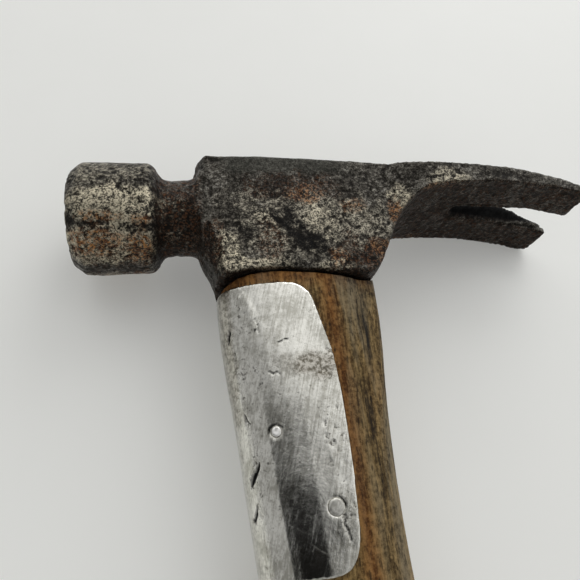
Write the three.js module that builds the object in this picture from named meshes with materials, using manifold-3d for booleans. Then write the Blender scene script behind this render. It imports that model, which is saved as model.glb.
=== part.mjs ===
// A framing hammer lying on its side: a forged head with a rip claw, a hatchet-style hickory
// handle wedged in the eye, and a steel overstrike guard wrapped round the front of the handle.
//
// Millimetres. X runs from the striking face to the claw, Y from the butt of the handle to the
// top of the head, and Z out of the cheek. Pieces are drawn about the eye, whose centre line is
// at X = 0 with the poll's axis at Y = 0. The finished group is moved along X at the end, so that
// the origin is the centre of the striking face.

import * as THREE from "three";
import { mergeVertices } from "three/addons/utils/BufferGeometryUtils.js";
import Module from "manifold-3d";

const wasm = await Module();
wasm.setup();

// ---- driving dimensions ------------------------------------------------------------------

const FIT_GAP = 0.3; // clearance between any two pieces that touch

// head
const FACE_TO_EYE = 61.6; // from the striking face to the eye's centre line
const POLL_RADIUS = 16;
const POLL_LENGTH = 21.6;
const FACE_CHAMFER = { along: 3.2, across: 2.6 };
const NECK_RADIUS = 11.4;
const NECK_LENGTH = 10;
const CHEEK_HALF = 12; // half the thickness across the cheeks
const CHEEK_TOP = 14.2; // height of the cheek's upper edge over the poll's axis
const CHEEK_BOTTOM = -24.6;
const CHEEK_REAR = 28.6; // how far the cheek's rear edge reaches behind the eye's centre
const CHEEK_BEVEL = 0.8;
const CLAW_TIP = 92; // how far the claw reaches behind the eye's centre
const CLAW_HALF = { root: 17.2, tip: 18.2 };
const SLOT = { rootX: 55, rootRadius: 2.2, mouthHalf: 2.5, slope: { fromY: 1, toY: 4.6, size: 2.6 } };

// eye and tenon
const EYE_TOP = { length: 32.6, width: 18.4 };
const EYE_WAIST = { length: 30.4, width: 16.8 };
const EYE_MOUTH = { length: 31.6, width: 17.6 };
const EYE_SQUARENESS = 3.2; // exponent of the eye's superellipse
const TENON_TOP = CHEEK_TOP - 0.2;

// wedges
const WOOD_WEDGE = { length: 27, thick: 4.2, thin: 1, depth: 24 };
const STEEL_WEDGE = { width: 12, thick: 1.8, thin: 0.5, depth: 14, spacing: 15 };

// handle and guard
const HANDLE_TOP_HALF = 22.3; // half the handle's width just below the head
const WOOD_HALF = 10.9; // half the handle's thickness just below the head
const GUARD_SHEET = 1.1;
const GUARD_TOP_Y = -27;
const GUARD_LENGTH = 69.3;
const GUARD_REACH = 5.2; // furthest the guard's edge comes behind the eye's centre
const RIVET = { x: -0.6, y: -82.6, radius: 1.8 };
const BRAD = { x: -12.1, y: -65, radius: 1.1, length: 9 };
const TOTAL_LENGTH = 406; // from the top of the head to the butt

const BUTT_Y = CHEEK_TOP - TOTAL_LENGTH;
const GUARD_BOTTOM_Y = GUARD_TOP_Y - GUARD_LENGTH;
const POLL_BACK = POLL_LENGTH - FACE_TO_EYE;
const NECK_END = POLL_BACK + NECK_LENGTH;

// ---- solids ------------------------------------------------------------------------------

/** A manifold solid from a closed three.js geometry. */
function solidOf(geometry) {
  const bare = geometry.clone();
  bare.deleteAttribute("normal");
  bare.deleteAttribute("uv");
  const merged = mergeVertices(bare, 1e-4);
  const index = merged.index.array;
  const kept = [];
  for (let i = 0; i < index.length; i += 3) {
    const [a, b, c] = [index[i], index[i + 1], index[i + 2]];
    if (a !== b && b !== c && c !== a) kept.push(a, b, c);
  }
  const mesh = new wasm.Mesh({
    numProp: 3,
    vertProperties: Float32Array.from(merged.attributes.position.array),
    triVerts: Uint32Array.from(kept),
  });
  return new wasm.Manifold(mesh);
}

/** A named three.js mesh from a manifold solid. */
function meshOf(solid, name, material) {
  const { vertProperties, triVerts } = solid.getMesh();
  const geometry = new THREE.BufferGeometry();
  geometry.setAttribute("position", new THREE.BufferAttribute(new Float32Array(vertProperties), 3));
  geometry.setIndex(new THREE.BufferAttribute(new Uint32Array(triVerts), 1));
  const split = geometry.toNonIndexed();
  split.computeVertexNormals();
  const mesh = new THREE.Mesh(split, material);
  mesh.name = name;
  return mesh;
}

/** A box solid between two corners. */
function boxSolid(low, high) {
  const size = high.clone().sub(low);
  const geometry = new THREE.BoxGeometry(size.x, size.y, size.z);
  const middle = low.clone().add(high).multiplyScalar(0.5);
  return solidOf(geometry.translate(middle.x, middle.y, middle.z));
}

/** A side outline, drawn in X and Y, as a plate centred on Z = 0 with bevelled rims. */
function plate(outline, halfThickness, bevel = 0) {
  const geometry = new THREE.ExtrudeGeometry(outline, {
    depth: 2 * (halfThickness - bevel),
    curveSegments: 8,
    bevelEnabled: bevel > 0,
    bevelThickness: bevel,
    bevelSize: bevel,
    bevelOffset: -bevel,
    bevelSegments: 2,
  });
  return solidOf(geometry.translate(0, 0, bevel - halfThickness));
}

/**
 * A plan outline, drawn in X and Z, as a prism that runs along Y. With a flare it is wider below
 * flare.fromY by flare.size all round, and narrows to the outline at highY.
 */
function prismAlongY(outline, lowY, highY, flare = { fromY: highY, size: 0 }) {
  const narrowing = highY - flare.fromY;
  const geometry = new THREE.ExtrudeGeometry(outline, {
    depth: flare.fromY - lowY,
    curveSegments: 8,
    bevelEnabled: narrowing > 0,
    bevelThickness: narrowing,
    bevelSize: flare.size,
    bevelSegments: 1,
  });
  return solidOf(geometry.rotateX(-Math.PI / 2).translate(0, lowY, 0));
}

/** A profile of [x, radius] points turned round the head's own X axis. */
function turned(profile, segments) {
  const points = profile.map(([x, radius]) => new THREE.Vector2(radius, x));
  const geometry = new THREE.LatheGeometry(points, segments);
  return solidOf(geometry.rotateZ(-Math.PI / 2));
}

/** One cross-section at a height Y: a superellipse in X and Z. */
function section({ y, x, halfX, halfZ, squareness }, count) {
  const points = [];
  for (let i = 0; i < count; i += 1) {
    const angle = (2 * Math.PI * i) / count;
    const [c, s] = [Math.cos(angle), Math.sin(angle)];
    const px = x + halfX * Math.sign(c) * Math.abs(c) ** (2 / squareness);
    const pz = halfZ * Math.sign(s) * Math.abs(s) ** (2 / squareness);
    points.push(new THREE.Vector3(px, y, pz));
  }
  return points;
}

/** A closed skin over sections that go from low Y to high Y, with a flat cap at each end. */
function loft(sections, count = 40) {
  const rings = sections.map((s) => section(s, count));
  const positions = [];
  for (const ring of rings) ring.forEach((p) => positions.push(p.x, p.y, p.z));
  const index = [];
  for (let r = 0; r + 1 < rings.length; r += 1) {
    for (let i = 0; i < count; i += 1) {
      const [a, b] = [r * count + i, r * count + ((i + 1) % count)];
      index.push(a, a + count, b, b, a + count, b + count);
    }
  }
  const topStart = (rings.length - 1) * count;
  for (let i = 1; i + 1 < count; i += 1) {
    index.push(0, i, i + 1);
    index.push(topStart, topStart + i + 1, topStart + i);
  }
  const geometry = new THREE.BufferGeometry();
  geometry.setAttribute("position", new THREE.Float32BufferAttribute(positions, 3));
  geometry.setIndex(index);
  return solidOf(geometry);
}

/** A round pin along Z. */
function pinAlongZ({ x, y, radius }, lowZ, highZ) {
  const geometry = new THREE.CylinderGeometry(radius, radius, highZ - lowZ, 20);
  return solidOf(geometry.rotateX(Math.PI / 2).translate(x, y, (lowZ + highZ) / 2));
}

// ---- head --------------------------------------------------------------------------------

/** Poll and neck: a chamfered striking face, a steep shoulder and a waisted neck. */
function pollAndNeck() {
  const face = -FACE_TO_EYE;
  const insideCheek = -EYE_TOP.length / 2 - 2;
  const profile = [
    [face, 0],
    [face, POLL_RADIUS - FACE_CHAMFER.across],
    [face + FACE_CHAMFER.along, POLL_RADIUS],
    [POLL_BACK - 1, POLL_RADIUS],
    [POLL_BACK, POLL_RADIUS - 0.3],
    [POLL_BACK + 1.4, POLL_RADIUS - 1.8],
    [POLL_BACK + 2.5, NECK_RADIUS + 0.8],
    [POLL_BACK + 3.6, NECK_RADIUS + 0.1],
    [POLL_BACK + 5.5, NECK_RADIUS - 0.3],
    [NECK_END, NECK_RADIUS],
  ];
  const filletRadius = 3.4;
  const filletSteps = 4;
  for (let i = 1; i <= filletSteps; i += 1) {
    const angle = (Math.PI / 2) * (i / filletSteps);
    profile.push([
      NECK_END + filletRadius * Math.sin(angle),
      NECK_RADIUS + filletRadius * (1 - Math.cos(angle)),
    ]);
  }
  profile.push([insideCheek, NECK_RADIUS], [insideCheek, 0]);
  const reach = 30;
  const acrossCheeks = CHEEK_HALF - 0.4;
  const wholePoll = boxSolid(
    new THREE.Vector3(face - 1, -reach, -reach),
    new THREE.Vector3(NECK_END + 1, reach, reach),
  );
  const fillet = boxSolid(
    new THREE.Vector3(NECK_END, -reach, -acrossCheeks),
    new THREE.Vector3(insideCheek + 1, CHEEK_TOP - 1, acrossCheeks),
  );
  return turned(profile, 48).intersect(wholePoll.add(fillet));
}

/** Side outline of the cheeks, from in front of the bowed nose to the rear edge. */
function cheekOutline(grow = 0) {
  const front = NECK_END - 2;
  const bottom = CHEEK_BOTTOM - grow;
  const rear = CHEEK_REAR + grow;
  const outline = new THREE.Shape();
  outline.moveTo(front, CHEEK_TOP);
  outline.lineTo(front, bottom);
  outline.lineTo(-21, bottom + 0.3);
  outline.quadraticCurveTo(-17.5, bottom + 2, -11, bottom + 2.1);
  outline.quadraticCurveTo(2, bottom + 2, 14, bottom - 0.4);
  outline.quadraticCurveTo(rear - 8.1, bottom - 1.6, rear - 5.1, -20.5);
  outline.lineTo(rear, -10.5);
  outline.lineTo(rear, CHEEK_TOP - 2.2);
  outline.quadraticCurveTo(6, CHEEK_TOP - 0.2, -16, CHEEK_TOP);
  outline.closePath();
  return outline;
}

/**
 * The front of the cheeks, bowed in plan. Each level gives the height, how far the bow's front
 * lies before the eye's centre, and how deep the ellipse is that the bow is cut from.
 */
function noseSolid() {
  const levels = [
    [-30, -23.6, 4.3],
    [-22, -23.9, 4.7],
    [-18, -25.4, 7.6],
    [-15, -27.1, 9.5],
    [-12, -28.1, 9.4],
    [-5, -28.4, 7.6],
    [CHEEK_TOP + 2, -28.4, 7.4],
  ];
  const halfZ = CHEEK_HALF + 2;
  return loft(levels.map(([y, front, halfX]) => ({ y, x: front + halfX, halfX, halfZ, squareness: 2 })));
}

/** The eye block: flat cheeks with a bowed front. */
function cheekBlock() {
  const noseEnd = -19.5;
  const reach = 40;
  const behindNose = boxSolid(
    new THREE.Vector3(noseEnd, -reach, -reach),
    new THREE.Vector3(reach, reach, reach),
  );
  return plate(cheekOutline(), CHEEK_HALF, CHEEK_BEVEL).intersect(noseSolid().add(behindNose));
}

/** Side outline of the claw and the gusset under it. The blade drops and thins to its tips. */
function clawSideOutline() {
  const insideX = 20;
  const tipTop = -1.8;
  const tipUnderside = -4.2;
  const outline = new THREE.Shape();
  outline.moveTo(insideX, CHEEK_TOP - 1.9);
  outline.lineTo(insideX, -6);
  outline.lineTo(CHEEK_REAR, -10.5);
  outline.quadraticCurveTo(CHEEK_REAR + 4.6, -0.6, 42, 0.9);
  outline.quadraticCurveTo(68, 3.4, CLAW_TIP, tipUnderside);
  outline.lineTo(CLAW_TIP, tipTop);
  outline.quadraticCurveTo(77, 6.4, 54, 8.4);
  outline.quadraticCurveTo(44.5, 9.1, 40, 10);
  outline.quadraticCurveTo(32, 12.2, insideX, CHEEK_TOP - 1.9);
  return outline;
}

/** Plan outline of the claw: it flares from the cheeks, then widens a little to its tips. */
function clawPlanOutline() {
  const insideX = 20;
  const flareEnd = 48;
  const tipRound = 4;
  const { root, tip } = CLAW_HALF;
  const outline = new THREE.Shape();
  outline.moveTo(insideX, -(CHEEK_HALF - 0.4));
  outline.lineTo(CHEEK_REAR - 0.6, -CHEEK_HALF);
  outline.bezierCurveTo(34, -CHEEK_HALF - 0.6, 38, -root + 0.2, flareEnd, -root);
  outline.lineTo(CLAW_TIP - tipRound, -tip);
  outline.quadraticCurveTo(CLAW_TIP, -tip, CLAW_TIP, -(tip - tipRound));
  outline.lineTo(CLAW_TIP, tip - tipRound);
  outline.quadraticCurveTo(CLAW_TIP, tip, CLAW_TIP - tipRound, tip);
  outline.lineTo(flareEnd, root);
  outline.bezierCurveTo(38, root - 0.2, 34, CHEEK_HALF + 0.6, CHEEK_REAR - 0.6, CHEEK_HALF);
  outline.lineTo(insideX, CHEEK_HALF - 0.4);
  outline.closePath();
  return outline;
}

/** The nail slot: round at its root, open at the tips, with walls that slope apart below. */
function slotSolid() {
  const pastTip = CLAW_TIP + 2;
  const rootCentre = SLOT.rootX + SLOT.rootRadius;
  const outline = new THREE.Shape();
  outline.moveTo(pastTip, -SLOT.mouthHalf);
  outline.lineTo(pastTip, SLOT.mouthHalf);
  outline.lineTo(rootCentre, SLOT.rootRadius);
  outline.absarc(rootCentre, 0, SLOT.rootRadius, Math.PI / 2, 1.5 * Math.PI, false);
  outline.closePath();
  return prismAlongY(outline, -12, 10).add(prismAlongY(outline, -12, SLOT.slope.toY, SLOT.slope));
}

/** The tapered hole through the head, or the tenon that fills it when shrunk by a gap. */
function eyeSolid(shrink, lowY, highY) {
  const waistY = -6;
  const half = ({ length, width }, y) => ({
    y,
    x: 0,
    halfX: length / 2 - shrink,
    halfZ: width / 2 - shrink,
    squareness: EYE_SQUARENESS,
  });
  return loft([half(EYE_MOUTH, lowY), half(EYE_WAIST, waistY), half(EYE_TOP, highY)], 32);
}

function makeHead() {
  const tallest = CHEEK_TOP + 4;
  const clawPlan = prismAlongY(clawPlanOutline(), -14, tallest);
  const blade = plate(clawSideOutline(), CLAW_HALF.tip + 1).intersect(clawPlan);
  const solid = pollAndNeck().add(cheekBlock()).add(blade);
  return solid.subtract(slotSolid()).subtract(eyeSolid(0, -32, tallest));
}

// ---- handle, wedges and guard ------------------------------------------------------------

/** The handle's centre line, half width, half thickness and squareness down its length. */
const HANDLE_STATIONS = [
  // y, centre x, half width, half thickness, squareness
  [-20, 0, HANDLE_TOP_HALF, WOOD_HALF, 2.8],
  [-38, 0, HANDLE_TOP_HALF - 0.5, WOOD_HALF, 2.8],
  [-60, -0.1, HANDLE_TOP_HALF - 2.8, WOOD_HALF - 0.1, 2.7],
  [-80, 0.1, HANDLE_TOP_HALF - 4.2, WOOD_HALF - 0.2, 2.6],
  [-102, 1.1, HANDLE_TOP_HALF - 5.3, WOOD_HALF - 0.3, 2.5],
  [-160, 4.6, 15.8, 10.8, 2.3],
  [-220, 6.6, 15.2, 11, 2.2],
  [-280, 4.8, 15.8, 11.5, 2.2],
  [-330, 0.6, 17.6, 12.3, 2.2],
  [-362, -3.4, 20, 13, 2.3],
  [BUTT_Y + 9, -5.8, 21.6, 13.4, 2.3],
  [BUTT_Y + 2.5, -6.2, 21.2, 13, 2.3],
  [BUTT_Y, -6.2, 18.8, 10.8, 2.3],
];

/** A smooth reading of the stations at any height, swollen outwards by `grow`. */
function handleSection(y, grow = 0) {
  const last = HANDLE_STATIONS.length - 1;
  let i = 0;
  while (i < last - 1 && y < HANDLE_STATIONS[i + 1][0]) i += 1;
  const [from, to] = [HANDLE_STATIONS[i], HANDLE_STATIONS[i + 1]];
  const before = HANDLE_STATIONS[Math.max(i - 1, 0)];
  const after = HANDLE_STATIONS[Math.min(i + 2, last)];
  const step = to[0] - from[0];
  const t = (y - from[0]) / step;
  const read = (k) => {
    const slopeIn = (to[k] - before[k]) / (to[0] - before[0]);
    const slopeOut = (after[k] - from[k]) / (after[0] - from[0]);
    return (
      (2 * t ** 3 - 3 * t ** 2 + 1) * from[k] +
      (t ** 3 - 2 * t ** 2 + t) * step * slopeIn +
      (3 * t ** 2 - 2 * t ** 3) * to[k] +
      (t ** 3 - t ** 2) * step * slopeOut
    );
  };
  return { y, x: read(1), halfX: read(2) + grow, halfZ: read(3) + grow, squareness: read(4) };
}

/** The handle's outside between two heights, swollen outwards by `grow`. */
function handleLoft(lowY, highY, spacing, grow = 0) {
  const steps = Math.ceil((highY - lowY) / spacing);
  const sections = [];
  for (let i = 0; i <= steps; i += 1) {
    sections.push(handleSection(lowY + ((highY - lowY) * i) / steps, grow));
  }
  return loft(sections);
}

/** A wedge that thins downwards: `across` is its thickness axis, "x" or "z". */
function wedgeSolid({ x, topY, width, thick, thin, depth, across }, grow = 0) {
  const outline = new THREE.Shape();
  outline.moveTo(-thick / 2 - grow, grow);
  outline.lineTo(-thin / 2 - grow, -depth - grow);
  outline.lineTo(thin / 2 + grow, -depth - grow);
  outline.lineTo(thick / 2 + grow, grow);
  outline.closePath();
  const length = width + 2 * grow;
  const geometry = new THREE.ExtrudeGeometry(outline, { depth: length, bevelEnabled: false });
  geometry.translate(0, 0, -length / 2);
  if (across === "z") geometry.rotateY(Math.PI / 2);
  return solidOf(geometry.translate(x, topY, 0));
}

const woodWedgePlace = {
  x: 0,
  topY: TENON_TOP,
  width: WOOD_WEDGE.length,
  thick: WOOD_WEDGE.thick,
  thin: WOOD_WEDGE.thin,
  depth: WOOD_WEDGE.depth,
  across: "z",
};

/** Place of a steel wedge: side is -1 towards the poll and 1 towards the claw. */
function steelWedgePlace(side) {
  return {
    x: (side * STEEL_WEDGE.spacing) / 2,
    topY: TENON_TOP + 0.1,
    width: STEEL_WEDGE.width,
    thick: STEEL_WEDGE.thick,
    thin: STEEL_WEDGE.thin,
    depth: STEEL_WEDGE.depth,
    across: "x",
  };
}

function steelWedgeSockets() {
  const front = wedgeSolid(steelWedgePlace(-1), FIT_GAP);
  return front.add(wedgeSolid(steelWedgePlace(1), FIT_GAP));
}

/** Holes for the guard's rivet and brads, or the wood's share of them. */
function fastenerHoles() {
  const rivetHole = pinAlongZ({ ...RIVET, radius: RIVET.radius + FIT_GAP }, -20, 20);
  const bradHole = { ...BRAD, radius: BRAD.radius + FIT_GAP };
  const bradDepth = bradTipZ() - FIT_GAP;
  return rivetHole.add(pinAlongZ(bradHole, bradDepth, 20)).add(pinAlongZ(bradHole, -20, -bradDepth));
}

/** Height Z of a skin that lies `grow` outside the wood, at a place on the handle's side. */
function skinZ({ x, y }, grow) {
  const { x: centre, halfX, halfZ, squareness } = handleSection(y, grow);
  const share = Math.abs((x - centre) / halfX) ** squareness;
  return halfZ * (1 - share) ** (1 / squareness);
}

function bradTipZ() {
  return skinZ(BRAD, FIT_GAP + GUARD_SHEET) - BRAD.length;
}

function makeHandle() {
  const grip = handleLoft(BUTT_Y, -19, 8.5);
  const headRoom = plate(cheekOutline(FIT_GAP), CHEEK_HALF * 2);
  const reach = 35;
  const aboveShoulder = boxSolid(
    new THREE.Vector3(-reach, CHEEK_BOTTOM + 3, -reach),
    new THREE.Vector3(reach, reach, reach),
  );
  const shoulder = grip.subtract(headRoom).subtract(aboveShoulder);
  const tenon = eyeSolid(FIT_GAP, -31, TENON_TOP);
  const wood = shoulder.add(tenon);
  return wood
    .subtract(wedgeSolid(woodWedgePlace, FIT_GAP))
    .subtract(steelWedgeSockets())
    .subtract(fastenerHoles());
}

function makeWoodWedge() {
  return wedgeSolid(woodWedgePlace).subtract(steelWedgeSockets());
}

/** Side outline of the guard: square at the top, bowed along its edge, round at the bottom. */
function guardOutline() {
  const beforeHandle = -34;
  const outline = new THREE.Shape();
  outline.moveTo(beforeHandle, GUARD_TOP_Y);
  outline.lineTo(beforeHandle, GUARD_BOTTOM_Y);
  outline.lineTo(GUARD_REACH - 8, GUARD_BOTTOM_Y);
  outline.quadraticCurveTo(GUARD_REACH - 1.6, GUARD_BOTTOM_Y, GUARD_REACH - 1, GUARD_BOTTOM_Y + 9);
  outline.quadraticCurveTo(GUARD_REACH + 0.6, -62, GUARD_REACH - 1.2, -46);
  outline.lineTo(GUARD_REACH - 4.2, GUARD_TOP_Y - 5.2);
  outline.quadraticCurveTo(GUARD_REACH - 6, GUARD_TOP_Y, GUARD_REACH - 11, GUARD_TOP_Y);
  outline.closePath();
  return outline;
}

function makeGuard() {
  const [lowY, highY] = [GUARD_BOTTOM_Y - 2, GUARD_TOP_Y + 2];
  const outer = handleLoft(lowY, highY, 6, FIT_GAP + GUARD_SHEET);
  const inner = handleLoft(lowY - 1, highY + 1, 6, FIT_GAP);
  return outer.subtract(inner).intersect(plate(guardOutline(), 20)).subtract(fastenerHoles());
}

/** The rivet runs right through and is dressed flush with both sides of the guard. */
function makeRivet() {
  const endZ = skinZ(RIVET, FIT_GAP + GUARD_SHEET) + 0.1;
  return pinAlongZ(RIVET, -endZ, endZ);
}

/** A brad on one side: side is 1 towards +Z and -1 towards -Z. */
function makeBrad(side) {
  const headZ = skinZ(BRAD, FIT_GAP + GUARD_SHEET) + 0.1;
  const [low, high] = side > 0 ? [bradTipZ(), headZ] : [-headZ, -bradTipZ()];
  return pinAlongZ(BRAD, low, high);
}

// ---- assembly ----------------------------------------------------------------------------

function material(colour, roughness, metalness) {
  return new THREE.MeshStandardMaterial({ color: colour, roughness, metalness });
}

const hammer = new THREE.Group();
hammer.name = "framing_hammer";
hammer.position.x = FACE_TO_EYE;
hammer.add(
  meshOf(makeHead(), "hammer_head", material(0x4d4641, 0.6, 0.9)),
  meshOf(makeHandle(), "handle", material(0x8a6a48, 0.75, 0)),
  meshOf(makeWoodWedge(), "eye_wedge", material(0xa88458, 0.8, 0)),
  meshOf(wedgeSolid(steelWedgePlace(-1)), "steel_wedge_front", material(0x5a5550, 0.5, 0.9)),
  meshOf(wedgeSolid(steelWedgePlace(1)), "steel_wedge_rear", material(0x5a5550, 0.5, 0.9)),
  meshOf(makeGuard(), "overstrike_guard", material(0xb9bbbd, 0.25, 1)),
  meshOf(makeRivet(), "guard_rivet", material(0xa5a6a8, 0.3, 1)),
  meshOf(makeBrad(1), "guard_brad_left", material(0x9a9b9c, 0.35, 1)),
  meshOf(makeBrad(-1), "guard_brad_right", material(0x9a9b9c, 0.35, 1)),
);

export default hammer;
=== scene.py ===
"""The looks of a framing hammer with an overstrike guard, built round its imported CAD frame."""

import math

import bpy
import numpy as np
from mathutils import Matrix, Vector


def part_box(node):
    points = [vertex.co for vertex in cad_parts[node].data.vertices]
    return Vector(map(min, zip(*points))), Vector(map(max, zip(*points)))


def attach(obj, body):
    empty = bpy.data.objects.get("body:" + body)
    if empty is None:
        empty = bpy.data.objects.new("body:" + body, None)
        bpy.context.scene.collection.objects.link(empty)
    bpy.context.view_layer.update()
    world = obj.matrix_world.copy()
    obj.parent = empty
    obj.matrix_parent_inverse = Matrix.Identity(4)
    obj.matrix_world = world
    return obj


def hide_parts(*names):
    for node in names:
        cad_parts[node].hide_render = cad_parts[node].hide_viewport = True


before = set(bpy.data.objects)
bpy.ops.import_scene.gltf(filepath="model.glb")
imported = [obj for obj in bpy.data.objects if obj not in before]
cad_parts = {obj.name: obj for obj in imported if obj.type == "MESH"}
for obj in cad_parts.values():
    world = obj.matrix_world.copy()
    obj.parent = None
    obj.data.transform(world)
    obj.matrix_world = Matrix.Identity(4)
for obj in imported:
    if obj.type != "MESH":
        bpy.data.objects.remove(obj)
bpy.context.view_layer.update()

MM = 0.001

# Where things are, in millimetres. X runs from the striking face to the claw, Y from the butt
# to the top of the head, and Z out of the cheek that the camera sees. Most places along X are
# counted from the frame's boxes. Y is counted from the poll's axis, and Z from the middle.


def box_mm(node):
    """A node's lowest and highest corner."""
    low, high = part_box(node)
    return np.array(low) / MM, np.array(high) / MM


HEAD_LOW, HEAD_HIGH = box_mm("hammer_head")
GUARD_LOW, GUARD_HIGH = box_mm("overstrike_guard")
EYE_LOW, EYE_HIGH = box_mm("eye_wedge")
EYE_X = (EYE_LOW[0] + EYE_HIGH[0]) / 2
CHEEK_Z = 12.0  # half the thickness across the cheeks
CHEEK_BOTTOM = HEAD_LOW[1]
POLL_BACK = EYE_X - 40  # the poll's back rim
SLOT_ROOT = EYE_X + 55  # where the nail slot starts
FLOOR_Z = HEAD_LOW[2]
DRAWN_IN = 0.3  # how far the guard's sheet is drawn towards its pins, to narrow the gap round them
SLOT_REACH = 7.5  # how far from the middle the slot's walls are looked for
SLOT_ROOT_REACH = 3.5  # the same at the slot's root
BOX_MARGIN = 0.05  # how far a worn surface stays inside the box of its CAD node

# ---- noise and mesh tools ----------------------------------------------------------------


def hashed(cells, seed):
    """A number from 0 to 1 for each row of whole numbers, the same in every run."""
    mixed = cells.astype(np.int64) * np.array([73856093, 19349663, 83492791])
    value = mixed[..., 0] ^ mixed[..., 1] ^ mixed[..., 2] ^ (seed * 2654435761)
    value = (value ^ (value >> 13)) * 1274126177 & 0xFFFFFFFF
    value = (value ^ (value >> 16)) * 2246822519 & 0xFFFFFFFF
    return (value ^ (value >> 13)) / 0xFFFFFFFF


def smooth_noise(points, size, seed):
    """Noise from 0 to 1 with features of about that size, at points in the same unit."""
    scaled = points / size
    base = np.floor(scaled).astype(np.int64)
    part = scaled - base
    weight = part * part * (3 - 2 * part)
    total = np.zeros(len(points))
    for corner in np.ndindex(2, 2, 2):
        share = np.prod(np.where(corner, weight, 1 - weight), axis=1)
        total += share * hashed(base + corner, seed)
    return total


def layered_noise(points, size, seed, layers=3):
    """Noise from 0 to 1 with finer noise laid on it."""
    total = np.zeros(len(points))
    for layer in range(layers):
        total += smooth_noise(points, size / 2**layer, seed + layer) / 2**layer
    return total / (2 - 2 ** (1 - layers))


def blots(points, size, seed, share, edge=0.06):
    """1 inside ragged spots of about that size which cover about that share of the surface."""
    field = layered_noise(points, size, seed, 4)
    level = np.quantile(field, 1 - share)
    return np.clip((field - level) / edge, 0, 1)


def ragged(points, size, seed, amount):
    """A wobble either side of 0 that roughens the border of a patch."""
    return (layered_noise(points, size, seed) - 0.5) * 2 * amount


def patches(points, places, seed, size=3.0):
    """Up to each place's strength inside it, falling to 0 across a ragged border."""
    wobble = ragged(points, size, seed, 0.5)
    share = np.zeros(len(points))
    for centre, radii, strength in places:
        away = np.linalg.norm((points - centre) / np.array(radii), axis=1) + wobble
        share = np.maximum(share, strength * np.clip((1.15 - away) / 0.5, 0, 1))
    return share


def strokes(points, lines, seed):
    """1 along each line from one point to another in X and Y, thin at both ends."""
    wobble = layered_noise(points, 1.6, seed)
    flat = points[:, :2] + (wobble - 0.5)[:, None] * 1.8
    share = np.zeros(len(points))
    for start, end, width in lines:
        start, step = np.array(start), np.subtract(end, start)
        along = np.clip((flat - start) @ step / (step @ step), 0, 1)
        away = np.linalg.norm(flat - start - along[:, None] * step, axis=1)
        half = width * wobble * np.sqrt(np.clip(4 * along * (1 - along), 0.05, 1))
        share = np.maximum(share, np.clip(1.3 - away / half, 0, 1))
    return share


def smoothed(values, edges, rounds):
    """Values at vertices, each moved towards the mean of its neighbours that many times."""
    count = len(values)
    ends = np.concatenate([edges, edges[:, ::-1]])
    degree = np.maximum(np.bincount(ends[:, 0], minlength=count), 1)
    result = values.reshape(count, -1).copy()
    for _ in range(rounds):
        for k in range(result.shape[1]):
            gathered = np.bincount(ends[:, 0], result[ends[:, 1], k], count)
            result[:, k] = (result[:, k] + gathered / degree) / 2
    return result.reshape(values.shape)


class Skin:
    """A finely and evenly meshed copy of a CAD node, to be worked by code in millimetres."""

    def __init__(self, node, name, voxel, rounding):
        self.node = node
        self.piece = bpy.data.objects.new(name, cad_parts[node].data.copy())
        bpy.context.scene.collection.objects.link(self.piece)
        remesh = self.piece.modifiers.new("even", "REMESH")
        remesh.mode = "VOXEL"
        remesh.voxel_size = voxel * MM
        graph = bpy.context.evaluated_depsgraph_get()
        fine = bpy.data.meshes.new_from_object(self.piece.evaluated_get(graph))
        self.piece.modifiers.clear()
        self.piece.data = fine
        fine.name = name
        count = len(fine.vertices)
        flat = np.empty(count * 3)
        fine.vertices.foreach_get("co", flat)
        self.points = flat.reshape(count, 3) / MM
        ends = np.empty(len(fine.edges) * 2, np.int64)
        fine.edges.foreach_get("vertices", ends)
        self.edges = ends.reshape(-1, 2)
        self.points = smoothed(self.points, self.edges, rounding)
        self.place()

    def place(self):
        """Writes the points into the mesh and reads back its normals."""
        mesh = self.piece.data
        mesh.vertices.foreach_set("co", (self.points * MM).ravel())
        mesh.update()
        normals = np.empty(len(self.points) * 3)
        mesh.vertex_normals.foreach_get("vector", normals)
        self.normals = normals.reshape(-1, 3)

    def push(self, amount):
        """Moves the surface out by an amount at each vertex, in millimetres."""
        self.points = self.points + self.normals * amount[:, None]
        self.place()

    def move(self, shift):
        """Moves each vertex by its own vector, in millimetres."""
        self.points = self.points + shift
        self.place()

    def keep_inside(self, low, high):
        """Brings any vertex that was moved out of the box back to its wall."""
        self.points = np.clip(self.points, low + BOX_MARGIN, high - BOX_MARGIN)
        self.place()

    def convexity(self, rounds):
        """How far each vertex stands out of its surroundings, in millimetres."""
        level = smoothed(self.points, self.edges, rounds)
        return np.einsum("ij,ij->i", self.points - level, self.normals)

    def store(self, name, values):
        """Keeps a value at each vertex for the material to read."""
        layer = self.piece.data.attributes.new(name, "FLOAT", "POINT")
        layer.data.foreach_set("value", np.asarray(values, np.float32))

    def finish(self, material):
        """Gives the piece its material and puts it in the CAD node's place."""
        mesh = self.piece.data
        mesh.materials.clear()
        mesh.materials.append(material)
        mesh.shade_smooth()
        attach(self.piece, "root")
        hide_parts(self.node)


# ---- shader helper -----------------------------------------------------------------------


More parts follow.
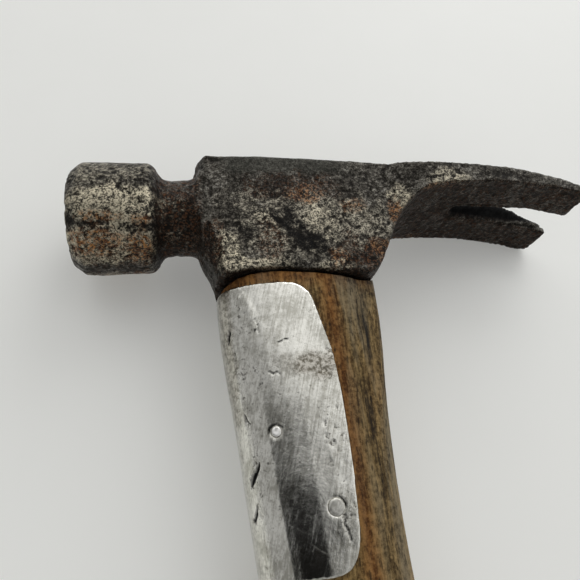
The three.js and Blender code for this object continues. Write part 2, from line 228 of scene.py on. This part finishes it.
class Shader:
    """A new material and short calls for the nodes that it is made of, in millimetres."""

    def __init__(self, name):
        self.material = bpy.data.materials.new(name)
        self.material.use_nodes = True
        self.tree = self.material.node_tree
        self.tree.nodes.clear()
        self.surface = self.node("ShaderNodeBsdfPrincipled")
        output = self.node("ShaderNodeOutputMaterial")
        self.tree.links.new(self.surface.outputs["BSDF"], output.inputs["Surface"])
        place = self.node("ShaderNodeTexCoord").outputs["Object"]
        self.coords = self.stretched((1 / MM, 1 / MM, 1 / MM), place)

    def node(self, kind, **settings):
        """A new node of that kind, with its settings."""
        made = self.tree.nodes.new(kind)
        for key, value in settings.items():
            setattr(made, key, value)
        return made

    def feed(self, socket, value):
        """Links a socket to another, or sets it to a plain value."""
        if isinstance(value, bpy.types.NodeSocket):
            self.tree.links.new(value, socket)
        elif isinstance(value, tuple) and len(value) == 3 and socket.type == "RGBA":
            socket.default_value = (*value, 1)
        else:
            socket.default_value = value

    def stretched(self, scale, vector=None):
        """The coordinates, or another vector, times a scale along each axis."""
        made = self.node("ShaderNodeVectorMath", operation="MULTIPLY")
        self.feed(made.inputs[0], vector or self.coords)
        made.inputs[1].default_value = scale
        return made.outputs[0]

    def turned(self, degrees, scale):
        """The coordinates turned about Z, then stretched."""
        made = self.node("ShaderNodeVectorRotate", rotation_type="Z_AXIS")
        self.feed(made.inputs["Vector"], self.coords)
        made.inputs["Angle"].default_value = math.radians(degrees)
        return self.stretched(scale, made.outputs["Vector"])

    def noise(self, size, detail=4.0, roughness=0.55, vector=None, distortion=0.0):
        """Noise from 0 to 1 with features of about that size."""
        made = self.node("ShaderNodeTexNoise")
        self.feed(made.inputs["Vector"], vector or self.coords)
        made.inputs["Scale"].default_value = 1 / size
        made.inputs["Detail"].default_value = detail
        made.inputs["Roughness"].default_value = roughness
        made.inputs["Distortion"].default_value = distortion
        return made.outputs["Fac"]

    def stored(self, name):
        """The value that Skin.store kept on the mesh under that name."""
        return self.node("ShaderNodeAttribute", attribute_name=name).outputs["Fac"]

    def maths(self, operation, a, b=0.0):
        """One sum, product or other operation on two values."""
        made = self.node("ShaderNodeMath", operation=operation)
        self.feed(made.inputs[0], a)
        self.feed(made.inputs[1], b)
        return made.outputs[0]

    def spread(self, value, low, high, to_low=0.0, to_high=1.0):
        """Value from low to high, eased to run from to_low to to_high and no further."""
        made = self.node("ShaderNodeMapRange", interpolation_type="SMOOTHSTEP")
        self.feed(made.inputs["Value"], value)
        made.inputs["From Min"].default_value = low
        made.inputs["From Max"].default_value = high
        made.inputs["To Min"].default_value = to_low
        made.inputs["To Max"].default_value = to_high
        return made.outputs["Result"]

    def mixed(self, share, a, b):
        """Colour a where share is 0 and colour b where it is 1."""
        made = self.node("ShaderNodeMix", data_type="RGBA")
        self.feed(made.inputs["Factor"], share)
        colours = [socket for socket in made.inputs if socket.type == "RGBA"]
        self.feed(colours[0], a)
        self.feed(colours[1], b)
        return [socket for socket in made.outputs if socket.type == "RGBA"][0]

    def total(self, *parts):
        """The sum of value times weight over pairs of them."""
        made = 0.0
        for value, weight in parts:
            sum_node = self.node("ShaderNodeMath", operation="MULTIPLY_ADD")
            self.feed(sum_node.inputs[0], value)
            self.feed(sum_node.inputs[1], weight)
            self.feed(sum_node.inputs[2], made)
            made = sum_node.outputs[0]
        return made

    def bump(self, height, distance, strength=1.0, below=None):
        """A bump from a height of 0 to 1 that stands for that many millimetres."""
        made = self.node("ShaderNodeBump")
        made.inputs["Strength"].default_value = strength
        made.inputs["Distance"].default_value = distance * MM
        self.feed(made.inputs["Height"], height)
        if below is not None:
            self.feed(made.inputs["Normal"], below)
        return made.outputs["Normal"]

    def set(self, name, value):
        """Links or sets an input of the surface's shader."""
        self.feed(self.surface.inputs[name], value)


# ---- materials ---------------------------------------------------------------------------
# Colours are linear. Stored values such as "rust" and "bright" come from the piece itself.


def forged_steel():
    """Pitted forging: bare metal on the high spots, rust and grime in the low ones, painted shade in the nail
    slot and a painted highlight along the poll.
    """
    s = Shader("forged_steel")
    pepper = s.noise(0.5, detail=2, roughness=0.7)
    grain = s.noise(1.2, detail=5, roughness=0.8, distortion=0.4)
    cloud = s.noise(8, detail=3)
    bright = s.stored("bright")
    brown = s.stored("brown")
    grime = s.stored("grime")
    calm = s.stored("calm")
    slot = s.stored("slot")
    level = s.total((grain, 0.75), (cloud, 0.25), (s.stored("high"), 0.05))
    level = s.total((level, 1.0), (bright, 0.04), (grime, -0.05), (s.stored("pit"), -0.06))
    colour = s.mixed(s.spread(level, 0.40, 0.53), (0.014, 0.0125, 0.010), (0.082, 0.075, 0.062))
    colour = s.mixed(s.spread(level, 0.52, 0.62), colour, (0.20, 0.19, 0.165))
    # Pale bare metal where the stored bright mask is high; on the poll this is partly a painted highlight.
    pale_spots = s.maths("MULTIPLY", s.spread(level, 0.47, 0.60), bright)
    colour = s.mixed(pale_spots, colour, (0.60, 0.54, 0.40))
    colour = s.mixed(s.maths("MULTIPLY", calm, 0.7), colour, (0.034, 0.035, 0.029))
    patchy = s.spread(s.noise(1.0, detail=4), 0.42, 0.6)
    dark_rust = s.mixed(patchy, (0.008, 0.003, 0.002), (0.15, 0.066, 0.030))
    stained = s.maths("MULTIPLY", brown, s.spread(grain, 0.40, 0.58, 0.95, 0.25))
    colour = s.mixed(stained, colour, dark_rust)
    orange = s.mixed(s.spread(grain, 0.42, 0.58), (0.11, 0.034, 0.008), (0.40, 0.185, 0.055))
    rusty = s.spread(s.noise(1.0, detail=5, roughness=0.8), 0.46, 0.56)
    rusted = s.maths("MULTIPLY", s.stored("rust"), rusty)
    colour = s.mixed(rusted, colour, orange)
    sooty = s.maths("MULTIPLY", grime, s.spread(grain, 0.42, 0.62, 1.0, 0.5))
    colour = s.mixed(sooty, colour, (0.006, 0.006, 0.006))
    speck = s.spread(s.total((pepper, 1.0), (calm, 0.05), (brown, -0.05)), 0.40, 0.54, 0.86, 0.0)
    colour = s.mixed(speck, colour, (0.012, 0.010, 0.008))
    # Painted shade: the nail slot's walls are coloured near black and made matt below, for the shadow deep in
    # the slot over its dark scale.
    colour = s.mixed(slot, colour, (0.001, 0.001, 0.001))
    s.set("Base Color", colour)
    s.set("Metallic", s.spread(s.total((rusted, 1.0), (stained, 0.35), (slot, 1.0)), 0.1, 0.9, 0.85, 0.1))
    s.set("Roughness", s.total((s.spread(level, 0.44, 0.60, 0.60, 0.34), 1.0), (slot, 0.4)))
    s.set("Specular IOR Level", 0.25)
    fine = s.bump(pepper, 0.14)
    s.set("Normal", s.bump(grain, 0.22, 1.0, fine))
    return s.material


def weathered_hickory():
    """Bare wood: tan with grey, black and orange streaks along the grain, darker end grain."""
    s = Shader("weathered_hickory")
    wide = s.noise(6, detail=4, vector=s.stretched((1, 0.12, 1)), distortion=0.6)
    streak = s.noise(1.5, detail=5, roughness=0.7, vector=s.stretched((1, 0.12, 1)), distortion=0.5)
    fibre = s.noise(0.5, detail=3, roughness=0.6, vector=s.stretched((1, 0.14, 1)))
    pore = s.noise(0.7, detail=3, vector=s.stretched((1, 0.22, 1)))
    fleck = s.noise(1.3, detail=5, roughness=0.75)
    tone = s.total((streak, 0.34), (fibre, 0.2), (wide, 0.24), (fleck, 0.34))
    colour = s.mixed(s.spread(tone, 0.46, 0.66), (0.05, 0.029, 0.009), (0.36, 0.24, 0.095))
    both = s.total((streak, 0.5), (fleck, 0.5))
    warm = s.mixed(s.spread(both, 0.4, 0.6), (0.07, 0.021, 0.004), (0.27, 0.11, 0.025))
    colour = s.mixed(s.maths("MULTIPLY", s.stored("warm"), 0.8), colour, warm)
    grey = s.mixed(s.spread(tone, 0.46, 0.66), (0.022, 0.022, 0.018), (0.19, 0.165, 0.115))
    greyed = s.maths("MULTIPLY", s.stored("grey"), s.spread(wide, 0.4, 0.6, 0.1, 0.75))
    colour = s.mixed(greyed, colour, grey)
    open_pore = s.maths("MULTIPLY", s.spread(pore, 0.58, 0.68), 0.7)
    colour = s.mixed(open_pore, colour, (0.013, 0.009, 0.005))
    blackened = s.maths("MULTIPLY", s.stored("black"), s.spread(streak, 0.4, 0.56, 1.0, 0.25))
    colour = s.mixed(blackened, colour, (0.012, 0.012, 0.012))
    rings = s.noise(1.1, detail=3, vector=s.turned(12, (1, 1, 0.14)), distortion=0.5)
    end_grain = s.mixed(s.spread(rings, 0.4, 0.62), (0.03, 0.018, 0.009), (0.15, 0.095, 0.048))
    colour = s.mixed(s.stored("end"), colour, end_grain)
    s.set("Base Color", colour)
    s.set("Roughness", s.spread(tone, 0.4, 0.8, 0.85, 0.62))
    s.set("Specular IOR Level", 0.15)
    fine = s.bump(fibre, 0.12)
    s.set("Normal", s.bump(s.total((streak, 0.6), (fleck, 0.5)), 0.4, 1.0, fine))
    return s.material


def bright_sheet():
    """Worn bright sheet: brushed and scratched, with dark pits and rubbed grey patches."""
    s = Shader("bright_sheet")
    brushed = s.noise(0.6, detail=3, roughness=0.7, vector=s.turned(18, (1, 0.05, 1)))
    crossed = s.noise(0.8, detail=2, vector=s.turned(-58, (1, 0.06, 1)))
    mottle = s.noise(1.2, detail=5, roughness=0.8)
    cloud = s.noise(8, detail=3)
    speck = s.noise(0.7, detail=4, roughness=0.7)
    pitted = s.stored("pitted")
    dirt = s.stored("dirt")
    rubbed = s.stored("rubbed")
    tone = s.total((brushed, 0.35), (mottle, 0.35), (cloud, 0.3))
    colour = s.mixed(s.spread(tone, 0.40, 0.58), (0.42, 0.41, 0.36), (0.80, 0.79, 0.73))
    dots = s.spread(s.total((speck, 1.0), (pitted, 0.14), (rubbed, 0.05)), 0.62, 0.70)
    colour = s.mixed(s.maths("MULTIPLY", dots, 0.8), colour, (0.06, 0.052, 0.042))
    grey = s.mixed(s.spread(mottle, 0.42, 0.58), (0.13, 0.115, 0.085), (0.55, 0.52, 0.46))
    colour = s.mixed(rubbed, colour, grey)
    colour = s.mixed(dirt, colour, (0.008, 0.008, 0.008))
    s.set("Base Color", colour)
    s.set("Metallic", 1.0)
    lines = s.maths("MAXIMUM", s.spread(brushed, 0.56, 0.68), s.spread(crossed, 0.60, 0.70))
    s.set("Roughness", s.total((lines, 0.1), (mottle, 0.1), (rubbed, 0.25), (dirt, 0.4), (1.0, 0.07)))
    s.set("Normal", s.bump(mottle, 0.035, 1.0, s.bump(brushed, 0.02, 0.8)))
    return s.material


def dressed_pin(name, low_colour, high_colour, roughness):
    """A fastener's head, filed flush: scratched one way, with dirt in the scratches."""
    s = Shader(name)
    filed = s.noise(0.5, detail=3, roughness=0.7, vector=s.turned(30, (1, 0.15, 1)))
    mottle = s.noise(0.9, detail=4)
    tone = s.total((filed, 0.5), (mottle, 0.5))
    s.set("Base Color", s.mixed(s.spread(tone, 0.38, 0.6), low_colour, high_colour))
    s.set("Metallic", 0.9)
    s.set("Roughness", s.total((filed, 0.25), (1.0, roughness)))
    s.set("Normal", s.bump(filed, 0.05))
    return s.material


def rusty_wedge():
    """A steel wedge's edge: rust brown with a few bare hammered spots."""
    s = Shader("rusty_wedge")
    grain = s.noise(1.1, detail=5, roughness=0.7)
    colour = s.mixed(s.spread(grain, 0.38, 0.6), (0.045, 0.017, 0.008), (0.20, 0.10, 0.05))
    pale_spots = s.spread(s.noise(1.8, detail=4), 0.58, 0.68)
    s.set("Base Color", s.mixed(pale_spots, colour, (0.35, 0.33, 0.3)))
    s.set("Metallic", s.spread(pale_spots, 0, 1, 0.3, 0.9))
    s.set("Roughness", s.spread(grain, 0.3, 0.7, 0.7, 0.45))
    s.set("Normal", s.bump(grain, 0.2))
    return s.material


def wedge_wood():
    """A hardwood wedge, end grain upwards, paler than the handle round it."""
    s = Shader("wedge_wood")
    lines = s.noise(0.7, detail=3, vector=s.stretched((0.12, 1, 1)))
    dots = s.noise(0.5, detail=3)
    tone = s.total((lines, 0.6), (dots, 0.4))
    s.set("Base Color", s.mixed(s.spread(tone, 0.36, 0.66), (0.07, 0.043, 0.022), (0.32, 0.22, 0.12)))
    s.set("Roughness", s.spread(tone, 0.3, 0.7, 0.85, 0.65))
    s.set("Normal", s.bump(tone, 0.15))
    return s.material


# ---- pieces ------------------------------------------------------------------------------


def folded(points):
    """Points with the far side of the hammer laid on the near one, so both wear alike."""
    return points * np.array([1, 1, 0]) + np.abs(points) * np.array([0, 0, 1])


def slot_walls(skin):
    """1 on the walls and root of the nail slot, fading out just above the claw's underside; the steel is
    painted near black there as shade.
    """
    x, y, z = skin.points.T
    across, up = np.abs(skin.normals[:, 2]), np.abs(skin.normals[:, 1])
    walls = (np.abs(z) < SLOT_REACH) & (x > SLOT_ROOT - 2) & (across > 0.45)
    root = (np.abs(z) < SLOT_ROOT_REACH) & (np.abs(x - SLOT_ROOT) < 3) & (up < 0.75)
    underside = 1.5 - 0.1 * (x - SLOT_ROOT - 3)
    inside = smoothed((walls | root).astype(float), skin.edges, 1)
    return inside * np.clip((y - underside - 0.6) / 1.6, 0, 1)


def forge_zones(skin):
    """Where the head is bare, rusty, brown, black, smooth, or inside the slot; the poll's bare patches also
    hold a painted highlight, and the slot's walls are painted dark as shade.

    Each place is a centre, the patch's reach along each axis in millimetres, and a strength.
    """
    p = folded(skin.points)
    x, y, _ = skin.points.T
    up = skin.normals[:, 1]
    cheek = CHEEK_Z
    bright = patches(p, [
        ((EYE_X - 20, -17.5, cheek), (4, 7, 5), 1),
        ((EYE_X + 2, -9, cheek), (26, 12, 4), 0.35),
        ((EYE_X - 9.5, -7, cheek), (3.5, 2.2, 3), 0.8),
        ((EYE_X - 6.5, -10, cheek), (2.2, 2, 3), 0.8),
        ((EYE_X + 6.5, -9.5, cheek), (7, 8, 4), 0.65),
        ((EYE_X - 10, -21.5, cheek), (9, 2, 4), 0.9),
        ((EYE_X + 8, -22.5, cheek), (6, 2.2, 4), 0.8),
        ((EYE_X + 18, -10, cheek), (11, 9, 4), 0.35),
        ((EYE_X + 32, -1, cheek), (4, 4.5, 4), 0.8),
        ((EYE_X + 46, 3, 17.2), (7, 4, 3), 0.6),
        # Painted highlight: the strong patches on the poll, brightest along the band just below its axis,
        # stand for the lamp's sheen there as well as for bare metal.
        ((EYE_X - 46, -4.5, 15), (18, 6.5, 6), 1.5),
        ((EYE_X - 50, -12.5, 9), (18, 5.5, 7), 1.1),
        ((EYE_X - 50, 7, 13), (18, 9, 7), 0.45),
        ((0, 0, 0), (1.5, 12, 12), 0.8),
    ], 11)
    rust = patches(p, [
        ((EYE_X + 3, 0.5, cheek), (5, 3.5, 3), 0.7),
        ((EYE_X + 17, -3.3, cheek), (4, 2.5, 3), 0.45),
        ((EYE_X + 10, -20, cheek), (2.5, 3.5, 3), 0.6),
        ((EYE_X + 30, -6.5, cheek - 1), (2.5, 5.5, 3), 0.9),
        ((EYE_X + 24, -18, cheek - 1), (4, 4, 4), 0.6),
        ((EYE_X + 46, -0.5, 16.5), (8, 2, 4), 0.9),
        ((EYE_X - 43, -13.8, 7.5), (3.5, 4, 6), 1.1),
        ((EYE_X - 54, -12.8, 9.5), (8, 3.4, 5), 1),
        ((EYE_X - 53, -7.5, 14), (6, 1.5, 4), 0.8),
        ((EYE_X - 43, -8.5, 13.4), (3, 1.4, 4), 0.9),
        ((EYE_X - 38.5, 10, 8), (1.6, 3, 5), 0.5),
    ], 12, 2.0)
    neck = np.clip((x - POLL_BACK - 0.5) / 1.2, 0, 1) * np.clip((EYE_X - 26 - x) / 2, 0, 1)
    under = np.clip((x - EYE_X - 29) / 4, 0, 1) * np.clip(-up * 1.6 - 0.2, 0, 1)
    low_edge = np.clip((CHEEK_BOTTOM + 2.5 - y) / 1.5, 0, 1)
    brown = patches(p, [
        ((EYE_X - 24, -14, 9), (3.4, 8, 5), 1),
        ((EYE_X + 14, -18, cheek), (3, 6, 3), 0.5),
        ((EYE_X + 22, -20, cheek), (7, 5, 5), 1),
        ((EYE_X - 1, 3, cheek), (14, 5, 3), 0.55),
        ((EYE_X - 8, -15, cheek), (4, 7, 3), 0.6),
        ((EYE_X - 47, -14, 5), (14, 4, 6), 0.5),
    ], 13)
    brown = np.maximum.reduce([brown, neck * 0.9, under * 0.75, low_edge * 0.8])
    grime = patches(p, [
        ((EYE_X - 5.5, 3.5, cheek), (4.5, 5, 3), 0.6),
        ((EYE_X + 2, -15.5, cheek), (4.5, 3, 3), 1),
        ((EYE_X + 5.5, -17.5, cheek), (2.5, 2, 3), 0.8),
        ((EYE_X - 2, -7, cheek), (1.6, 4, 3), 0.8),
        ((EYE_X - 14, -12, cheek), (2.6, 3, 3), 0.7),
        ((EYE_X - 4, -21.5, cheek), (6, 2, 3), 0.7),
        ((EYE_X - 15, -24, cheek), (6, 1.6, 4), 0.9),
        ((EYE_X - 44, -9.9, 12.6), (6, 1.2, 4), 0.7),
    ], 14)
    smears = strokes(p, [
        ((EYE_X - 8, -5), (EYE_X + 1, -16), 2.2),
        ((EYE_X - 3.5, -4.5), (EYE_X + 4, -14.5), 1.2),
        ((EYE_X - 2, -12), (EYE_X + 5, -17.5), 3),
        ((EYE_X + 3, -13), (EYE_X + 6.5, -16), 3.5),
    ], 15) * (p[:, 2] > cheek - 1.5)
    shoulder = np.clip((x - POLL_BACK + 0.2) / 0.8, 0, 1) * np.clip((POLL_BACK + 3.5 - x) / 1.5, 0, 1)
    grime = np.maximum.reduce([grime, smears * 1.2, neck * 0.2, shoulder * 0.7, under * 0.45, low_edge * 0.5])
    band = np.clip((y - 6.5) / 2.5, 0, 1) * np.clip((x - EYE_X + 22) / 4, 0, 1)
    band = band * np.clip((EYE_X + 22 - x) / 12, 0, 1)
    return {
        "bright": bright,
        "rust": rust,
        "brown": brown,
        "grime": grime,
        "calm": band,
        "slot": slot_walls(skin),
    }


def make_head():
    """The forging: worn at its edges, scaled where it is brown, pitted outside its smooth band."""
    undulation, edge_wear, scale_depth, grain_depth = 0.5, 0.45, 0.35, 0.2
    deep_pit, small_pit = 0.16, 0.14
    slot_fill = 0.8  # narrows the slot, by more than the smoothing widens it, so it reads dark
    skin = Skin("hammer_head", "forged_head", 0.42, 5)
    zones = forge_zones(skin)
    edge = np.clip(skin.convexity(12) / 0.25, 0, 1)
    rough = 1 - 0.85 * zones["calm"]
    round_neck = skin.points * np.array([1, 0.15, 0.15])
    waves = layered_noise(skin.points, 16, 21, 2) - 0.5
    skin.push(undulation * waves + slot_fill * (zones["slot"] > 0))
    skin.push(edge_wear * edge * (layered_noise(skin.points, 3.5, 22, 2) - 0.6))
    skin.push(-scale_depth * (zones["brown"] > 0.7) * layered_noise(round_neck, 1.4, 24, 2))
    deep = blots(skin.points, 4, 23, 0.16) * rough
    small = blots(skin.points, 1.8, 25, 0.2) * rough
    skin.push(-deep_pit * deep - small_pit * small)
    skin.push(-grain_depth * rough * (layered_noise(skin.points, 1.4, 27, 2) - 0.4))
    skin.keep_inside(HEAD_LOW, HEAD_HIGH)
    skin.store("high", np.clip(skin.convexity(10) / 0.12, -1, 1))
    skin.store("pit", np.maximum(0.5 * deep, small))
    for name, values in zones.items():
        skin.store(name, values)
    skin.finish(forged_steel())


def make_handle():
    """The wood: cracked along its grain, warm by the guard, grey at the rear and the butt."""
    skin = Skin("handle", "hickory_handle", 0.55, 5)
    p = skin.points
    y = p[:, 1]
    grain = p * np.array([1, 0.05, 1])
    below_head = y < CHEEK_BOTTOM + 4
    ridges = layered_noise(grain, 2.4, 31, 2)
    cracks = np.clip((smooth_noise(p * np.array([1, 0.03, 1]), 2.2, 35) - 0.84) / 0.08, 0, 1) * below_head
    skin.push(-0.22 * ridges * below_head)
    skin.push(-0.35 * cracks)
    near_guard = np.clip(1 - np.abs(p[:, 0] - GUARD_HIGH[0] - 1) / 4, 0, 1) * (y > GUARD_LOW[1] - 14)
    at_head = np.clip((y - GUARD_HIGH[1] + 3) / 5, 0, 1)
    warm = np.clip(np.maximum(near_guard, at_head) + ragged(p * np.array([1, 0.2, 1]), 4, 36, 0.5), 0, 1)
    rear = np.clip((p[:, 0] - EYE_X - 6 - 3 * np.sin(y / 40)) / 9, 0, 1)
    grey = np.clip(rear + ragged(grain, 5, 37, 0.7), 0, 1)
    grey = np.maximum(grey, np.clip((-y - 250) / 90, 0, 0.6))
    soot = patches(folded(p), [
        ((EYE_X + 15, -38, 10), (2.2, 14, 5), 0.8),
        ((EYE_X + 10, -62, 10), (1.2, 14, 4), 0.6),
        ((EYE_X + 12, -72, 10), (1.0, 20, 4), 0.7),
        ((EYE_X + 20, -25.5, 6), (4, 1.6, 8), 0.9),
    ], 38)
    end = np.clip((np.abs(skin.normals[:, 1]) - 0.75) / 0.15, 0, 1)
    skin.store("warm", warm * (1 - 0.5 * end))
    skin.store("grey", grey)
    skin.store("black", np.clip(soot * (0.4 + ridges) + cracks, 0, 1) * (1 - end))
    skin.store("end", end)
    skin.finish(weathered_hickory())


def towards_pin(points, pin):
    """A step of 1 or less towards a pin's axis, for points close to the hole round it."""
    fade = 0.6
    low, high = box_mm(pin)
    away = (points - (low + high) / 2) * np.array([1, 1, 0])
    distance = np.maximum(np.linalg.norm(away, axis=1), 0.1)
    close = np.clip(((high[0] - low[0]) / 2 + 1 - distance) / fade, 0, 1)
    return -away * (close / distance)[:, None]


def make_guard():
    """The sheet: dented, creased, slit, scored and pitted, and drawn in round its pins."""
    skin = Skin("overstrike_guard", "guard_shell", 0.3, 3)
    p = skin.points
    x, y, z = p.T
    outward = np.stack([x - EYE_X, np.zeros_like(x), z * 2.2], axis=1)
    outward /= np.linalg.norm(outward, axis=1)[:, None]
    left = GUARD_LOW[0]
    # The right brad is in line with the left one, so its hole is drawn in with the other.
    for pin in ("guard_rivet", "guard_brad_left"):
        skin.move(towards_pin(p, pin) * DRAWN_IN)
    dents = layered_noise(p, 14, 41, 2) - 0.5
    crease = strokes(p, [((left + 6, -29), (left + 9, -39), 3)], 42)
    corner = np.clip((x - GUARD_HIGH[0] + 9) / 6, 0, 1) * np.clip((GUARD_LOW[1] + 9 - y) / 6, 0, 1)
    skin.move(outward * (-0.1 + 0.35 * dents + 0.15 * crease - 0.25 * corner)[:, None])
    slits = strokes(p, [
        ((left + 7.2, -71), (left + 4.8, -76.5), 0.8),
        ((left + 6, -80), (left + 5.2, -84.5), 0.6),
        ((left + 4.5, -93), (left + 4.8, -97), 0.7),
        ((left + 2.6, -38), (left + 2.2, -41.5), 0.6),
        ((left + 4.6, -59.5), (left + 5.6, -62.5), 0.5),
    ], 43)
    scores = strokes(p, [
        ((GUARD_HIGH[0] - 4.5, -85), (GUARD_HIGH[0] - 3.5, -90.5), 0.35),
        ((left + 11, -50.8), (left + 13.5, -52), 0.35),
        ((left + 14, -43.6), (left + 17, -42.8), 0.3),
        ((left + 9, -36), (left + 9.6, -41), 0.3),
    ], 44)
    outside = np.einsum("ij,ij->i", skin.normals, outward) > 0.3
    skin.push(-0.45 * slits * outside)
    skin.push(-0.16 * scores * outside)
    pit_zone = patches(folded(p), [
        ((GUARD_HIGH[0] - 4, -64, 12), (3, 11, 6), 0.7),
        ((EYE_X + 2, -50, 12), (8, 4.5, 6), 0.8),
        ((left + 5, -66, 11), (4.5, 34, 7), 0.6),
        ((GUARD_HIGH[0] - 4, -84, 12), (4, 7, 6), 0.6),
    ], 45)
    pitting = blots(p, 1.6, 46, 0.22) * outside * np.clip(0.12 + pit_zone, 0, 1)
    skin.push(-0.07 * pitting)
    rubbed = patches(folded(p), [
        ((EYE_X + 1, -49.5, 12), (7.5, 3.6, 6), 0.9),
        ((EYE_X - 8, -48.5, 12), (4, 2.4, 6), 0.35),
        ((left + 1.5, -60, 6), (2.2, 60, 9), 0.7),
    ], 47)
    skin.store("pitted", np.clip(0.45 * pit_zone + pitting, 0, 1))
    skin.store("rubbed", rubbed)
    skin.store("dirt", np.clip(slits * 1.2 + scores * 0.3, 0, 1))
    skin.finish(bright_sheet())


def make_pin(node, name, voxel, spread_by, material):
    """A pin whose end is spread a little towards the hole's rim and filed flush."""
    end_length = 1.4
    skin = Skin(node, name, voxel, 2)
    low, high = box_mm(node)
    middle = (low + high) / 2
    radial = (skin.points - middle) * np.array([1, 1, 0])
    radial /= np.maximum(np.linalg.norm(radial, axis=1), 1e-6)[:, None]
    outer = np.abs(skin.points[:, 2]) > np.abs([low[2], high[2]]).max() - end_length
    rim = np.abs(skin.normals[:, 2]) < 0.9
    skin.move(radial * (spread_by * outer * rim)[:, None])
    skin.push(-0.06 * layered_noise(skin.points, 1.0, 51))
    skin.finish(material)


def make_fasteners():
    """The rivet through the guard and the handle, and the brad on each side."""
    rivet = dressed_pin("rivet_steel", (0.40, 0.39, 0.35), (0.68, 0.67, 0.62), 0.2)
    brad = dressed_pin("brad_steel", (0.6, 0.59, 0.55), (0.92, 0.91, 0.88), 0.2)
    make_pin("guard_rivet", "rivet", 0.22, 0.12, rivet)
    make_pin("guard_brad_left", "brad_left", 0.16, 0.1, brad)
    make_pin("guard_brad_right", "brad_right", 0.16, 0.1, brad)


def make_wedges():
    """The two steel wedges, battered on top, and the hardwood one that they cross."""
    steel = rusty_wedge()
    for node in ("steel_wedge_front", "steel_wedge_rear"):
        skin = Skin(node, node + "_driven", 0.2, 2)
        struck = np.clip(skin.normals[:, 1], 0, 1)
        skin.push(-0.12 * struck * layered_noise(skin.points, 1.2, 61, 2))
        skin.finish(steel)
    skin = Skin("eye_wedge", "eye_wedge_driven", 0.25, 2)
    skin.push(-0.15 * layered_noise(skin.points * np.array([0.3, 1, 1]), 0.9, 62, 2))
    skin.finish(wedge_wood())


# ---- studio ------------------------------------------------------------------------------


def make_floor():
    """A plain pale floor under the hammer, lit a little from within to lift the shadows."""
    mesh = bpy.data.meshes.new("floor")
    reach = 3.0
    low = FLOOR_Z * MM
    corners = [(x, y, low) for x, y in ((-reach, -reach), (reach, -reach), (reach, reach), (-reach, reach))]
    mesh.from_pydata(corners, [], [(0, 1, 2, 3)])
    floor = bpy.data.objects.new("floor", mesh)
    bpy.context.scene.collection.objects.link(floor)
    s = Shader("pale_floor")
    tone = s.noise(30, detail=4)
    s.set("Base Color", s.mixed(tone, (0.76, 0.765, 0.735), (0.79, 0.795, 0.765)))
    s.set("Roughness", 0.6)
    s.set("Emission Color", (1, 1, 0.97))
    s.set("Emission Strength", 0.17)
    mesh.materials.append(s.material)


def make_sky():
    """Soft light all round, brightest beyond the top of the head and towards the claw.

    The guard mirrors the dark patch overhead as the dark band low on it.
    """
    world = bpy.data.worlds.new("studio")
    world.use_nodes = True
    tree = world.node_tree

    def feed(socket, value):
        if isinstance(value, bpy.types.NodeSocket):
            tree.links.new(value, socket)
        else:
            socket.default_value = value

    def maths(operation, a, b):
        made = tree.nodes.new("ShaderNodeMath")
        made.operation = operation
        feed(made.inputs[0], a)
        feed(made.inputs[1], b)
        return made.outputs[0]

    def ramp(value, low, high, to_low=0.0, to_high=1.0):
        made = tree.nodes.new("ShaderNodeMapRange")
        made.interpolation_type = "SMOOTHSTEP"
        for socket, number in zip(made.inputs, (value, low, high, to_low, to_high)):
            feed(socket, number)
        return made.outputs["Result"]

    direction = tree.nodes.new("ShaderNodeTexCoord").outputs["Generated"]
    parts = tree.nodes.new("ShaderNodeSeparateXYZ")
    tree.links.new(direction, parts.inputs[0])
    x, y = parts.outputs["X"], parts.outputs["Y"]
    facing = maths("ADD", maths("MULTIPLY", x, 0.5), maths("MULTIPLY", y, 0.84))
    open_sky = ramp(facing, -0.1, 0.45, 0.42, 1.0)
    across = maths("MULTIPLY", ramp(x, -0.62, -0.54), ramp(x, 0.05, 0.45, 1.0, 0.0))
    along = maths("MULTIPLY", ramp(y, -0.5, -0.3), ramp(y, -0.06, 0.26, 1.0, 0.0))
    patch = ramp(maths("MULTIPLY", across, along), 0, 1, 1.0, 0.03)
    sky = tree.nodes["Background"]
    sky.inputs["Color"].default_value = (1, 1, 1, 1)
    feed(sky.inputs["Strength"], maths("MULTIPLY", open_sky, patch))
    bpy.context.scene.world = world


def make_lamp():
    """A soft window light high beyond the head, on the claw's side."""
    lamp = bpy.data.lights.new("window", "AREA")
    lamp.energy = 1.7
    lamp.size = 0.5
    light = bpy.data.objects.new("window", lamp)
    target = Vector((0.06, -0.03, 0))
    light.location = Vector((0.45, 0.65, 0.5))
    light.rotation_euler = (target - light.location).to_track_quat("-Z", "Y").to_euler()
    bpy.context.scene.collection.objects.link(light)


def make_camera():
    """The camera looks down on the head from the handle's side, turned towards the claw."""
    lens = bpy.data.cameras.new("camera")
    lens.lens = 32
    lens.sensor_width = 36
    lens.clip_start = 0.01
    camera = bpy.data.objects.new("camera", lens)
    place = Vector((POLL_BACK + 8.3, -83.4, 132.4)) * MM
    turn = Matrix.Rotation(math.radians(-12.55), 4, "Y")
    tilt = Matrix.Rotation(math.radians(23.58), 4, "X")
    roll = Matrix.Rotation(math.radians(-7.27), 4, "Z")
    camera.matrix_world = Matrix.Translation(place) @ turn @ tilt @ roll
    bpy.context.scene.collection.objects.link(camera)
    bpy.context.scene.camera = camera


bpy.context.scene.view_settings.view_transform = "Standard"
make_camera()
make_sky()
make_lamp()
make_floor()
make_head()
make_handle()
make_guard()
make_fasteners()
make_wedges()
